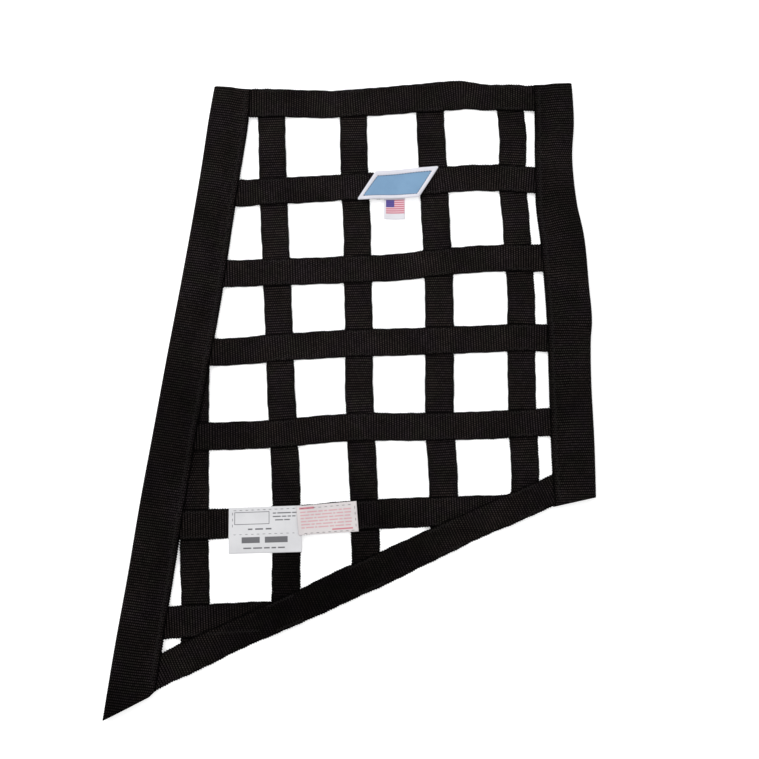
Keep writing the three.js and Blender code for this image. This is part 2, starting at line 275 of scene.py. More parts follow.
# Rows of stitches
SEAM_PITCH = 2.9
SEAM_SWING = 1.5
SEAM_FROM_EDGE = 4.6
SEAM_TOP = 10
SEAM_FOOT = {"sleeve_left": 40, "sleeve_right": 12}
CROSSING_PITCH = 3.0
CROSSING_SWING = 1.2
CROSSING_FROM_EDGE = 2.6
CROSSING_REACH = 11.2
SLANTED_REACH = 12.5
LABEL_STITCH = 2.6
LABEL_STITCH_PITCH = 5.2
PATCH_STITCH = 1.1
PATCH_STITCH_PITCH = 2.5

# Where rows 6 and 7 cross the upright at the long sleeve, where the slanted ribbon crosses uprights
# 1 to 4, and the seam across the foot of the net
SLEEVE_CROSSINGS = {"row_6": (-163.4, -128), "row_7": (-161, -212.4)}
SLANTED_CROSSINGS = [(-81.8, -206), (-11.6, -174), (58.6, -141.5), (129.4, -110)]
FOOT_SEAM = [(-151, -224), (-128, -222.2), (-105, -221.2)]

# Stitches round the labels, each row from its start to its end
CERTIFICATE_ROWS = [
    ((-129, -117.4), (-73.5, -115.2)),
    ((-129.8, -119), (-129.8, -136)),
    ((-129, -138.5), (-73, -136.6)),
]
SMALL_LABEL_ROWS = [
    ((-69.5, -115.6), (-22.6, -111.6)),
    ((-22, -113), (-20.4, -133)),
    ((-66, -137.2), (-21, -134.2)),
]

# Camera: its tilt, its distance and its focal length, from the photo's own width in pixels
CAMERA_TILT = math.radians(7.5)
CAMERA_DISTANCE = 0.990
FOCAL_PX = 1100
PHOTO_PX = 759
SENSOR_MM = 36
LENS_MM = FOCAL_PX / PHOTO_PX * SENSOR_MM
AIM = Vector((NET_SHIFT[0] * MM, NET_SHIFT[1] * MM, 0))


def smooth(value):
    """Eases from 0 to 1 as the value does."""
    part = np.clip(value, 0, 1)
    return part * part * (3 - 2 * part)


def unit(vectors):
    return vectors / np.linalg.norm(vectors, axis=-1, keepdims=True)


def placed(points):
    """Table millimetres to the scene's metres."""
    return (np.asarray(points, float) + NET_SHIFT) * MM


class Strip:
    """The middle line of a strip of cloth, with its width, by the distance along it.

    The line is a smooth curve through the points. A point without a width has the given one.
    """

    def __init__(self, points, width=INCH):
        p = np.array([[*q, width][:3] for q in points], float)
        p = np.vstack([2 * p[0] - p[1], p, 2 * p[-1] - p[-2]])
        t = np.linspace(0, 1, CURVE_STEPS, endpoint=False)[:, None]
        pieces = []
        for a, b, c, d in zip(p, p[1:], p[2:], p[3:]):
            before, here, after = (((q - r) @ (q - r)) ** 0.25 for q, r in ((b, a), (c, b), (d, c)))
            leave = ((b - a) / before - (c - a) / (before + here) + (c - b) / here) * here
            arrive = ((c - b) / here - (d - b) / (here + after) + (d - c) / after) * here
            square = -3 * b + 3 * c - 2 * leave - arrive
            cube = 2 * b - 2 * c + leave + arrive
            pieces.append(b + leave * t + square * t**2 + cube * t**3)
        self.points = np.vstack([*pieces, p[-2:-1]])
        steps_along = np.hypot(*np.diff(self.points[:, :2], axis=0).T)
        self.along = np.concatenate([[0], np.cumsum(steps_along)])
        self.length = self.along[-1]

    def middle(self, u):
        return np.stack([np.interp(u, self.along, self.points[:, k]) for k in (0, 1)], -1)

    def width(self, u):
        return np.interp(u, self.along, self.points[:, 2])

    def heading(self, u):
        ahead = self.middle(np.minimum(u + HEADING_REACH, self.length))
        behind = self.middle(np.maximum(u - HEADING_REACH, 0))
        return unit(ahead - behind)

    def across(self, u, offset):
        """The place at the distance u, offset to the left of the heading."""
        h = self.heading(u)
        left = np.stack([-h[..., 1], h[..., 0]], -1)
        return self.middle(u) + left * np.asarray(offset)[..., None]

    def nearest(self, x, y):
        return self.along[np.argmin(np.hypot(self.points[:, 0] - x, self.points[:, 1] - y))]

    def band(self):
        """Points along the strip, each with half its width."""
        u = np.linspace(0, self.length, math.ceil(self.length / BAND_STEP) + 1)
        return np.column_stack([self.middle(u), self.width(u) / 2])


def with_bows(points, bows, shift):
    """Adds a mid point, shifted across the strip, to each stretch that bows."""
    result = [points[0]]
    for start, end, bow in zip(points, points[1:], bows):
        if bow:
            middle = (np.array(start) + np.array(end)) / 2 + bow * np.array(shift)
            result.append(tuple(middle))
        result.append(end)
    return result


def sleeve_strip(table):
    """A sleeve's middle line from its two edges, with its width square to that line."""
    y, inner, outer = np.array(table, float).T
    middle = (inner + outer) / 2
    lean = np.gradient(middle, y)
    return Strip(list(zip(middle, y, abs(outer - inner) / np.hypot(1, lean))))


def label_band(corners):
    """A label as a band: the middles of its left and right side, each with half its height."""
    top_left, top_right, foot_right, foot_left = np.array(corners, float)
    half = abs(top_left[1] - foot_left[1]) / 2
    return np.array([[*(top_left + foot_left) / 2, half], [*(top_right + foot_right) / 2, half]])


row_strips, upright_strips = [], []
for j, row in enumerate(ROWS):
    crossings = [(upright["x"][j + 1], row["y"][i + 1]) for i, upright in enumerate(UPRIGHTS)]
    left, right = row["ends"]
    points = [(left, row["y"][0]), *crossings, (right, row["y"][-1])]
    row_strips.append(Strip(with_bows(points, row["bow"], (0, 1)), row.get("width", INCH)))
for i, upright in enumerate(UPRIGHTS):
    crossings = [(upright["x"][j + 1], row["y"][i + 1]) for j, row in enumerate(ROWS)]
    points = [(upright["x"][0], UPRIGHT_TOP), *crossings, upright["foot"]]
    points = with_bows(points, [*upright["bow"], 0], (1, 0))
    upright_strips.append(Strip(points, upright.get("width", INCH)))
foot_row = Strip(FOOT_ROW)
sleeve_upright = Strip(SLEEVE_UPRIGHT)
top_ribbon = Strip(TOP_RIBBON)
slanted_ribbon = Strip(SLANTED_RIBBON)
left_sleeve = sleeve_strip(LEFT_SLEEVE)
right_sleeve = sleeve_strip(RIGHT_SLEEVE)

# Every band of cloth that others lie on: its middle points with half widths, its rank and its pitch
bands = [(sleeve.band(), RANK["sleeve_under"], WEBBING_PITCH) for sleeve in (left_sleeve, right_sleeve)]
bands += [(strip.band(), RANK["upright"], WEBBING_PITCH) for strip in (*upright_strips, sleeve_upright)]
bands += [(strip.band(), RANK["row"], WEBBING_PITCH) for strip in (*row_strips, foot_row, top_ribbon)]
bands += [(slanted_ribbon.band(), RANK["slant"], WEBBING_PITCH)]
bands += [(label_band(FLAG), RANK["flag"], LABEL_PITCH)]
bands += [(label_band(CERTIFICATE), RANK["certificate"], LABEL_PITCH)]


def edge_distance(path, x, y):
    """Distance from each point to the edge of a band, negative inside it. Far stretches are skipped."""
    nearest = np.full(x.shape, 1e6)
    left, right = x.min() - BAND_MARGIN, x.max() + BAND_MARGIN
    foot, top = y.min() - BAND_MARGIN, y.max() + BAND_MARGIN
    for (ax, ay, a_half), (bx, by, b_half) in zip(path, path[1:]):
        if max(ax, bx) < left or min(ax, bx) > right or max(ay, by) < foot or min(ay, by) > top:
            continue
        dx, dy = bx - ax, by - ay
        along = np.clip(((x - ax) * dx + (y - ay) * dy) / (dx * dx + dy * dy), 0, 1)
        aside = np.hypot(x - ax - dx * along, y - ay - dy * along)
        nearest = np.minimum(nearest, aside - a_half - (b_half - a_half) * along)
    return nearest


def height_under(x, y, rank, ramp=RAMP):
    """Height of the cloth that lies under a piece of the given rank."""
    height = np.zeros(x.shape)
    for path, band_rank, pitch in bands:
        if band_rank < rank:
            height += pitch * (1 - smooth((edge_distance(path, x, y) - SHOULDER) / ramp))
    return height


def arch_at(x, y):
    """An upright arches a little off the surface between the rows that cross it."""
    openness = np.ones(x.shape)
    for path, band_rank, _ in bands:
        if band_rank != RANK["upright"]:
            openness = np.minimum(openness, smooth((edge_distance(path, x, y) - ARCH_START) / ARCH_REACH))
    return UPRIGHT_ARCH * openness


def shell_rings(middle, half, cap, edge_start, edge_end):
    """Closed rings of points round a sheet's middle surface, with a rounded edge at both sides."""
    outward = unit(np.cross(np.gradient(middle, axis=0), np.gradient(middle, axis=1)))
    over = middle + outward * half[..., None]
    under = middle - outward * half[..., None]
    first = middle[:, :1] + (edge_start * cap[:, None])[:, None]
    last = middle[:, -1:] + (edge_end * cap[:, None])[:, None]
    return np.concatenate([over, last, under[:, ::-1], first], axis=1)


def ring_values(values, start, end):
    """A value for each point of the rings, from the middle surface's and the two edges'."""
    return np.concatenate([values, end[:, None], values[:, ::-1], start[:, None]], axis=1)


def read(collection, name, size=1):
    """One value of every element of a mesh, or one row of values when the size is over 1."""
    values = np.empty(len(collection) * size, np.int32 if size == 1 else np.float32)
    collection.foreach_get(name, values)
    return values.reshape(-1, size) if size > 1 else values


def finished(name, bm, material, slot):
    """Turns a bmesh into an object that rides on the net."""
    mesh = bpy.data.meshes.get(name) or bpy.data.meshes.new(name)
    bm.to_mesh(mesh)
    bm.free()
    mesh.materials.append(material)
    piece = bpy.data.objects.new(name, mesh)
    bpy.context.scene.collection.objects.link(piece)
    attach(piece, "root")
    return piece


def close_ends(bm):
    """Fills every open end with flat faces."""
    ends = bmesh.ops.holes_fill(bm, edges=bm.edges, sides=0)["faces"]
    for face in ends:
        face.smooth = False
    bmesh.ops.triangulate(bm, faces=ends)


def skinned(name, rings, maps, material, slot, cuts=()):
    """Wraps a grid round the rings, one ring to each station, closes it and cuts its ends."""
    stations, around = rings.shape[:2]
    mesh = bpy.data.meshes.new(name)
    bm = bmesh.new()
    bmesh.ops.create_grid(bm, x_segments=around, y_segments=stations - 1, size=0.5)
    bm.to_mesh(mesh)
    grid = read(mesh.vertices, "co", 3)
    column = np.rint((grid[:, 0] + 0.5) * around).astype(int) % around
    station = np.rint((grid[:, 1] + 0.5) * (stations - 1)).astype(int)
    mesh.vertices.foreach_set("co", placed(rings[station, column]).astype(np.float32).ravel())
    corner = read(mesh.loops, "vertex_index")
    for label, values in maps.items():
        layer = mesh.uv_layers.new(name=label)
        pairs = (values[station, column] * MM)[corner]
        layer.uv.foreach_set("vector", pairs.astype(np.float32).ravel())
    bm.clear()
    bm.from_mesh(mesh)
    bmesh.ops.remove_doubles(bm, verts=bm.verts, dist=1e-6)
    for face in bm.faces:
        face.smooth = True
    close_ends(bm)
    for start, end in cuts:
        start, end = placed([*start, 0]), placed([*end, 0])
        outside = Vector((end[1] - start[1], start[0] - end[0], 0)).normalized()
        geometry = [*bm.verts, *bm.edges, *bm.faces]
        bmesh.ops.bisect_plane(
            bm, geom=geometry, dist=1e-7, plane_co=Vector(start), plane_no=outside, clear_outer=True
        )
        close_ends(bm)
    bmesh.ops.recalc_face_normals(bm, faces=bm.faces)
    return finished(name, bm, material, slot)


def kept_length(strip, cuts):
    """Length of the strip's middle line between its cuts."""
    u = np.linspace(0, strip.length, 2000)
    x, y = strip.middle(u).T
    kept = np.ones(u.shape, bool)
    for (ax, ay), (bx, by) in cuts:
        kept &= (bx - ax) * (y - ay) - (by - ay) * (x - ax) > 0
    return strip.length * kept.mean()


def stations_of(strip):
    """Distances along a strip, four to each rib."""
    return np.arange(0, strip.length, RIB_PITCH / STATIONS_PER_RIB)


def rib_at(u):
    """1 on the crown of a rib and 0 half way between two ribs."""
    return 0.5 + 0.5 * np.cos(2 * np.pi * u / RIB_PITCH)


def edge_wander(u, seed):
    """How far a selvage wanders in or out, from woven tension that isn't quite even."""
    short = 0.16 * np.sin(u / 4.1 + seed * 1.7) + 0.12 * np.sin(u / 1.7 + seed * 2.9)
    return short + 0.1 * np.sin(u / 9 + seed)


def selvage_reach(u):
    """How far the rounded selvage reaches past the last row of points, scalloped by the ribs."""
    return SELVAGE + SCALLOP * (rib_at(u) - 0.5)


def thinned(count):
    """Thickness across a sheet as a share of the full one, less towards both selvages."""
    share = np.ones(count)
    for k, thin in enumerate(SELVAGE_THINNING):
        share[[k, -1 - k]] = thin
    return share


def ribbed_sheet(name, node, u, middle, across, rims, inside, material, slot, cuts):
    """A ribbed sheet of webbing round its middle surface.

    across tells where each point lies across the weave, rims where the two selvages lie, and inside
    how far each point is from the nearer selvage.
    """
    thickness = (WEBBING / 2 - RIB_DEPTH * (1 - rib_at(u)))[:, None] * thinned(middle.shape[1])
    start = unit(middle[:, 0] - middle[:, 1])
    end = unit(middle[:, -1] - middle[:, -2])
    rings = shell_rings(middle, thickness, selvage_reach(u), start, end)
    along = np.broadcast_to(u[:, None], across.shape)
    first, last = (np.stack([u, rim], -1) for rim in rims)
    at_rim = np.zeros((len(u), 2))
    maps = {
        "weave": ring_values(np.stack([along, across], -1), first, last),
        "edge": ring_values(np.stack([inside, inside * 0], -1), at_rim, at_rim),
    }
    piece = skinned(name, rings, maps, material, slot, cuts)
    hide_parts(node)
    return piece


def ribbon(name, node, strip, rank, material, cuts, seed, arched=False):
    """A ribbon of ribbed webbing, draped over what lies under it."""
    u = stations_of(strip)
    half = strip.width(u) / 2
    left_half = half + edge_wander(u, seed) - SELVAGE
    right_half = half + edge_wander(u, seed + 0.5) - SELVAGE
    halves = np.where(RIBBON_FRACTIONS > 0, left_half[:, None], right_half[:, None])
    offsets = halves * RIBBON_FRACTIONS
    x, y = strip.across(u[:, None] + offsets * 0, offsets).transpose(2, 0, 1)
    z = height_under(x, y, rank) + WEBBING / 2
    if arched:
        z = z + arch_at(x, y)
    middle = np.stack([x, y, z], -1)
    rims = (offsets[:, 0] - selvage_reach(u), offsets[:, -1] + selvage_reach(u))
    inside = np.minimum(offsets - offsets[:, :1], offsets[:, -1:] - offsets) + SELVAGE
    return ribbed_sheet(name, node, u, middle, offsets, rims, inside, material, "ribbon_webbing", cuts)


def over_layer_height(x, y, stop):
    """Underside of a sleeve's over layer: flat on the seam, then up over the rod pocket."""
    seam = height_under(x, y, RANK["sleeve_over"])
    rise = smooth((stop - SEAM_DEPTH) / (POCKET_START - SEAM_DEPTH))
    return seam + (POCKET_HEIGHT - WEBBING - seam) * rise


def sleeve(name, node, strip, side, material, cuts, seed):
    """A sleeve: the under layer, the fold at the outer edge and the over layer, as one ribbed sheet.

    A stop is a distance from the inner edge, out to the fold.
    """
    u = stations_of(strip)
    width = strip.width(u)[:, None]
    radius = (POCKET_HEIGHT - WEBBING) / 2
    straight = width - POCKET_HEIGHT / 2
    wander = edge_wander(u, seed)[:, None] * (OVER_FRACTIONS < AT_OVER_EDGE)
    under_stop = straight * UNDER_FRACTIONS + SELVAGE
    angle = np.linspace(-np.pi / 2, np.pi / 2, FOLD_POINTS)[1:-1]
    fold_stop = straight + radius * np.cos(angle)
    over_stop = SELVAGE + (straight - SELVAGE) * OVER_FRACTIONS + wander
    stop = np.concatenate([np.minimum(under_stop, straight), fold_stop, over_stop], axis=1)
    offset = side * (width / 2 - stop)
    x, y = strip.across(u[:, None] + stop * 0, offset).transpose(2, 0, 1)
    first_over = under_stop.shape[1] + fold_stop.shape[1]
    over = (slice(None), slice(first_over, None))
    z_under = np.full(under_stop.shape, WEBBING / 2)
    z_fold = POCKET_HEIGHT / 2 + radius * np.sin(angle) + width * 0
    z_over = over_layer_height(x[over], y[over], over_stop) + WEBBING / 2
    fullness = 0.35 * np.sin(u / 31 + seed) + 0.25 * np.sin(u / 13 + 2 * seed)
    swell = np.sin(np.pi * np.clip((over_stop - SEAM_DEPTH) / (straight - SEAM_DEPTH), 0, 1))
    z_over = z_over + fullness[:, None] * swell
    middle = np.stack([x, y, np.concatenate([z_under, z_fold, z_over], axis=1)], -1)
    steps = np.linalg.norm(np.diff(middle, axis=1), axis=-1)
    travelled = np.concatenate([np.zeros((len(u), 1)), np.cumsum(steps, axis=1)], axis=1)
    from_over_edge = travelled[:, -1:] - travelled + SELVAGE
    rims = (from_over_edge[:, 0] + selvage_reach(u), u * 0)
    inside = np.minimum(travelled + SELVAGE, from_over_edge)
    return ribbed_sheet(
        name, node, u, middle, from_over_edge, rims, inside, material, "sleeve_webbing", cuts
    )


def label(name, node, corners, rank, material, slot, curl=0, thickness=LABEL_THICKNESS, lift=LABEL_LIFT):
    """A label as a thin sheet between its four corners, lying on the webbing under it."""
    top_left, top_right, foot_right, foot_left = np.array(corners, float)
    width = np.linalg.norm(top_right - top_left)
    length = np.linalg.norm(foot_left - top_left)
    s = np.linspace(0, 1, math.ceil(width / LABEL_STEP))[:, None, None]
    t = np.linspace(0, 1, math.ceil(length / LABEL_STEP))[None, :, None]
    top = top_left + (top_right - top_left) * s
    foot = foot_left + (foot_right - foot_left) * s
    flat = top + (foot - top) * t
    x, y = flat.transpose(2, 0, 1)
    z = height_under(x, y, rank, LABEL_RAMP) + lift + thickness / 2
    z = z + curl * (t[..., 0] ** 3) * (0.6 + 0.4 * np.cos(2 * np.pi * s[..., 0]))
    middle = np.stack([x, y, z], -1)
    cap = np.full(len(s), thickness / 4)
    half = np.full(x.shape, thickness / 2)
    start = unit(middle[:, 0] - middle[:, 1])
    end = unit(middle[:, -1] - middle[:, -2])
    rings = shell_rings(middle, half, cap, start, end)
    right = np.broadcast_to(s[..., 0] * width, x.shape)
    up = np.broadcast_to((1 - t[..., 0]) * length, x.shape)
    printed = np.stack([right, up], -1)
    inside = np.minimum(np.minimum(right, width - right), np.minimum(up, length - up))
    edge = np.stack([inside, inside * 0], -1)
    maps = {
        "weave": ring_values(printed, printed[:, 0], printed[:, -1]),
        "edge": ring_values(edge, edge[:, 0], edge[:, -1]),
    }
    piece = skinned(name, rings, maps, material, slot)
    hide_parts(node)
    return piece


def sewn(name, threads, material, slot, thickness=THREAD):
    """Stitches as short rounded threads, each from one needle hole to the next."""
    bm = bmesh.new()
    for start, end in threads:
        start, end = Vector(placed(start)), Vector(placed(end))
        along = end - start
        turn = along.to_track_quat("Z", "Y").to_matrix().to_4x4()
        radius = thickness * MM / 2
        size = Matrix.Diagonal((radius, radius, along.length * THREAD_REACH, 1))
        matrix = Matrix.Translation((start + end) / 2) @ turn @ size
        bmesh.ops.create_uvsphere(bm, u_segments=6, v_segments=4, radius=1, matrix=matrix)
    for face in bm.faces:
        face.smooth = True
    return finished(name, bm, material, slot)


def zigzag(strip, start, end, offset, swing, pitch, top):
    """Threads of a zigzag row along a strip. top gives the cloth's upper face at (x, y, u, offset)."""
    count = max(2, round((end - start) / (pitch / 2)))
    u = np.linspace(start, end, count + 1)
    aside = offset + swing * np.where(np.arange(count + 1) % 2, 1, -1)
    x, y = strip.across(u, aside).T
    points = np.stack([x, y, top(x, y, u, aside)], -1)
    return list(zip(points, points[1:]))


def dashes(start, end, length, pitch, top):
    """Threads of a straight row with gaps, from start to end."""
    start, end = np.array(start, float), np.array(end, float)
    run = np.linalg.norm(end - start)
    direction = (end - start) / run
    threads = []
    for k in range(int((run - length) / pitch) + 1):
        a = start + direction * k * pitch
        b = a + direction * length
        ends = np.array([a, b])
        z = top(ends[:, 0], ends[:, 1])
        threads.append(([*a, z[0]], [*b, z[1]]))
    return threads


class Tree:
    """Short ways to put nodes in a node tree and join them."""

    def __init__(self, tree):
        self.tree = tree

    def put(self, kind, inputs=None, **settings):
        node = self.tree.nodes.new("ShaderNode" + kind)
        for key, value in settings.items():
            setattr(node, key, value)
        for key, value in (inputs or {}).items():
            self.feed(node.inputs[key], value)
        return node

    def feed(self, socket, value):
        if isinstance(value, bpy.types.NodeSocket):
            self.tree.links.new(value, socket)
        else:
            socket.default_value = value

    def math(self, operation, *values):
        node = self.put("Math", operation=operation)
        for socket, value in zip(node.inputs, values):
            self.feed(socket, value)
        return node.outputs[0]

    def wave(self, turns):
        """1 at every whole turn and 0 half way between."""
        swing = self.math("COSINE", self.math("MULTIPLY", turns, 2 * math.pi))
        return self.math("MULTIPLY_ADD", swing, 0.5, 0.5)

    def ranged(self, value, low, high, to_low=0.0, to_high=1.0, kind="SMOOTHSTEP"):
        node = self.put("MapRange", interpolation_type=kind)
        for socket, given in zip(node.inputs, (value, low, high, to_low, to_high)):
            self.feed(socket, given)
        return node.outputs[0]

    def blend(self, factor, a, b, kind="MIX"):
        node = self.put("Mix", data_type="RGBA", blend_type=kind)
        for socket, value in zip((node.inputs[0], node.inputs[6], node.inputs[7]), (factor, a, b)):
            self.feed(socket, value)
        return node.outputs[2]

    def parts(self, vector):
        return self.put("SeparateXYZ", {"Vector": vector}).outputs

    def pool(self, at, centre, near, far, inside, outside):
        """A value that changes smoothly with the distance from a place of the tables."""
        node = self.put("VectorMath", operation="DISTANCE")
        self.feed(node.inputs[0], at)
        self.feed(node.inputs[1], tuple(placed([*centre, 0])))
        return self.ranged(node.outputs["Value"], near * MM, far * MM, inside, outside)

    def noise(self, vector, scale, detail):
        inputs = {"Vector": vector, "Scale": scale, "Detail": detail, "Roughness": 0.55}
        return self.put("TexNoise", inputs).outputs["Fac"]


def node_group(name, inputs, outputs):
    """An empty shader node group, with its helper, its input sockets and its output node."""
    tree = bpy.data.node_groups.new(name, "ShaderNodeTree")
    for direction, sockets in (("INPUT", inputs), ("OUTPUT", outputs)):
        for title, kind in sockets:
            tree.interface.new_socket(title, in_out=direction, socket_type="NodeSocket" + kind)
    made = Tree(tree)
    entry = tree.nodes.new("NodeGroupInput")
    leave = tree.nodes.new("NodeGroupOutput")
    return tree, made, entry.outputs, leave.inputs


def use_group(made, tree, inputs):
    node = made.tree.nodes.new("ShaderNodeGroup")
    node.node_tree = tree
    for key, value in inputs.items():
        made.feed(node.inputs[key], value)
    return node.outputs


def ribbed_weave_group():
    """Ribs across the webbing, with the warp's beads on them, offset by half from rib to rib."""
    tree, made, given, result = node_group(
        "ribbed weave",
        [("Place", "Vector"), ("Rib pitch", "Float"), ("Bead pitch", "Float")],
        [("Bead", "Float"), ("Height", "Float")],
    )
    u, v, _ = made.parts(given["Place"])
    ribs = made.math("DIVIDE", u, given["Rib pitch"])
    rib = made.wave(ribs)
    odd = made.math("MULTIPLY", made.math("FLOORED_MODULO", made.math("ROUND", ribs), 2.0), 0.5)
    bead = made.wave(made.math("ADD", made.math("DIVIDE", v, given["Bead pitch"]), odd))
    lift = made.math("MULTIPLY_ADD", bead, 0.85, 0.15)
    made.feed(result["Bead"], bead)
    made.feed(result["Height"], made.math("MULTIPLY", rib, lift))
    return tree


def printed_bar_group():
    """A printed rectangle on a label, as a mask with a soft edge."""
    tree, made, given, result = node_group(
        "printed bar",
        [("Place", "Vector"), *((side, "Float") for side in ("Left", "Right", "Foot", "Top", "Soft"))],
        [("Mask", "Float")],
    )
    u, v, _ = made.parts(given["Place"])
    outside = made.math("MULTIPLY", given["Soft"], -1.0)
    masks = []
    for value, low, high in ((u, given["Left"], given["Right"]), (v, given["Foot"], given["Top"])):
        past_low = made.math("SUBTRACT", value, low)
        short_of_high = made.math("SUBTRACT", high, value)
        inside = made.math("MINIMUM", past_low, short_of_high)
        masks.append(made.ranged(inside, outside, given["Soft"]))
    made.feed(result["Mask"], made.math("MULTIPLY", *masks))
    return tree


ribbed_weave = ribbed_weave_group()
printed_bar = printed_bar_group()


def new_material(name, roughness, specular, sheen=0.0):
    """A material with its shader, and the helper that adds nodes to it."""
    material = bpy.data.materials.new(name)
    material.use_nodes = True
    made = Tree(material.node_tree)
    shader = material.node_tree.nodes["Principled BSDF"]
    shader.inputs["Roughness"].default_value = roughness
    shader.inputs["Specular IOR Level"].default_value = specular
    shader.inputs["Sheen Weight"].default_value = sheen
    shader.inputs["Sheen Roughness"].default_value = 0.5
    return material, made, shader.inputs


def webbing_material(name, groove_shade, crown, bead_pitch):
    """Black ribbed webbing: grooves painted dark and crowns lighter, as painted light and shade on the
    ribs, faded patches, a selvage painted darker as shade on its rounded edge, and pools of painted light
    and shade.
    """
    material, made, shader = new_material(name, 0.75, 0.015)
    place = made.put("UVMap", uv_map="weave").outputs[0]
    edge = made.parts(made.put("UVMap", uv_map="edge").outputs[0])[0]
    at = made.put("TexCoord").outputs["Object"]
    inputs = {"Place": place, "Rib pitch": RIB_PITCH * MM, "Bead pitch": bead_pitch}
    weave = use_group(made, ribbed_weave, inputs)
    bead, height = weave["Bead"], weave["Height"]
    violet = (crown[0] * 0.96, crown[1] * 0.95, crown[2] * 1.12, 1)
    olive = (crown[0] * 0.9, crown[1] * 1.01, crown[2] * 0.94, 1)
    crowns = made.blend(made.ranged(made.noise(at, 34.0, 2.0), 0.4, 0.6), crown, violet)
    crowns = made.blend(made.ranged(made.noise(at, 47.0, 2.0), 0.48, 0.64), crowns, olive)
    # Painted light and shade on the ribs: painted shade in the grooves, lighter colour on the crowns
    yarn_and_groove_shade = made.blend(made.math("POWER", height, 1.3), groove_shade, crowns)
    # The selvage painted darker, as painted shade on its rounded edge; the faded patches and fibres below
    # are the webbing's own
    painted_shade_and_fading = made.ranged(edge, 0.0003, 0.0021, 0.15, 1.0)
    fading = made.ranged(made.noise(at, 26.0, 4.0), 0.3, 0.7, 0.72, 1.28, "LINEAR")
    fibres = made.ranged(made.noise(at, 520.0, 2.0), 0.35, 0.75, 0.6, 1.6, "LINEAR")
    # Pools of painted light and shade across the net
    painted_light_pools = [made.pool(at, *pool) for pool in LIGHT_AND_SHADE_POOLS]
    for value in (fading, fibres, *painted_light_pools):
        painted_shade_and_fading = made.math("MULTIPLY", painted_shade_and_fading, value)
    shade = made.put("CombineXYZ", {"X": painted_shade_and_fading, "Y": painted_shade_and_fading, "Z": painted_shade_and_fading}).outputs[0]
    made.feed(shader["Base Color"], made.blend(1.0, yarn_and_groove_shade, shade, "MULTIPLY"))
    made.feed(shader["Roughness"], made.ranged(bead, 0.0, 1.0, 0.8, 0.65, "LINEAR"))
    bump = made.put("Bump", {"Strength": 0.8, "Distance": 0.00022, "Height": height})
    made.feed(shader["Normal"], bump.outputs[0])
    return material


def thread_material(name, colour, specular):
    """Twisted sewing thread."""
    material, made, shader = new_material(name, 0.6, specular)
    at = made.put("TexCoord").outputs["Object"]
    twist = made.put(
        "TexWave", {"Vector": at, "Scale": 900.0, "Distortion": 0.6}, bands_direction="DIAGONAL"
    ).outputs["Fac"]
    dark = (*(c * 0.6 for c in colour[:3]), 1)
    made.feed(shader["Base Color"], made.blend(twist, dark, colour))
    bump = made.put("Bump", {"Strength": 0.5, "Distance": 0.0001, "Height": twist})
    made.feed(shader["Normal"], bump.outputs[0])
    return material


def cloth_base(made, place, colour, dark, spacing):
    """Fine label cloth: its colour with a faint weave and smudges, and its height for a bump."""
    u, v, _ = made.parts(place)
    warp = made.math("SINE", made.math("MULTIPLY", u, 2 * math.pi / spacing))
    weft = made.math("SINE", made.math("MULTIPLY", v, 2 * math.pi / spacing))
    weave = made.math("MULTIPLY_ADD", made.math("MULTIPLY", warp, weft), 0.5, 0.5)
    at = made.put("TexCoord").outputs["Object"]
    smudge = made.ranged(made.noise(at, 60.0, 4.0), 0.35, 0.7)
    mixed = made.math("MULTIPLY_ADD", weave, 0.35, made.math("MULTIPLY", smudge, 0.5))
    return made.blend(mixed, colour, dark), weave


def printed(made, place, ground, bars, ink, strength):
    """Prints bars (left, right, foot, top, in millimetres) on a label's ground colour."""
    mask = None
    for left, right, foot, top in bars:
        inputs = {"Place": place, "Left": left * MM, "Right": right * MM, "Foot": foot * MM}
        inputs |= {"Top": top * MM, "Soft": 0.00012}
        bar = use_group(made, printed_bar, inputs)["Mask"]
        mask = bar if mask is None else made.math("MAXIMUM", mask, bar)
    return made.blend(made.math("MULTIPLY", mask, strength), ground, ink)


def label_material(name, colour, dark, prints, spacing=0.0005, roughness=0.6):
    """White label cloth with plain ruled lines."""
    material, made, shader = new_material(name, roughness, 0.3, 0.05)
    place = made.put("UVMap", uv_map="weave").outputs[0]
    ground, weave = cloth_base(made, place, colour, dark, spacing)
    for bars, ink, strength in prints:
        ground = printed(made, place, ground, bars, ink, strength)
    edge = made.parts(made.put("UVMap", uv_map="edge").outputs[0])[0]
    rim = made.ranged(edge, 0.0, 0.0006, 0.25, 0.0)
    made.feed(shader["Base Color"], made.blend(rim, ground, dark))
    bump = made.put("Bump", {"Strength": 0.35, "Distance": 0.00008, "Height": weave})
    made.feed(shader["Normal"], bump.outputs[0])
    return material


def framed(left, right, foot, top, line):
    """The four bars of an empty box."""
    return [
        (left, right, top - line, top),
        (left, right, foot, foot + line),
        (left, left + line, foot, top),
        (right - line, right, foot, top),
    ]


# Pools of painted light and shade on the webbing, lighter round the upper middle and darker lower down
# and to the left: the middle of each pool, its inner and outer reach in millimetres, and the tone inside
# and outside it
LIGHT_AND_SHADE_POOLS = [
    ((-30, 120), 60, 300, 1.22, 0.94),
    ((-50, -200), 20, 160, 0.36, 1.0),
    ((-182, -40), 0, 100, 0.6, 1.0),
    ((-235, -290), 10, 80, 0.5, 1.0),
]

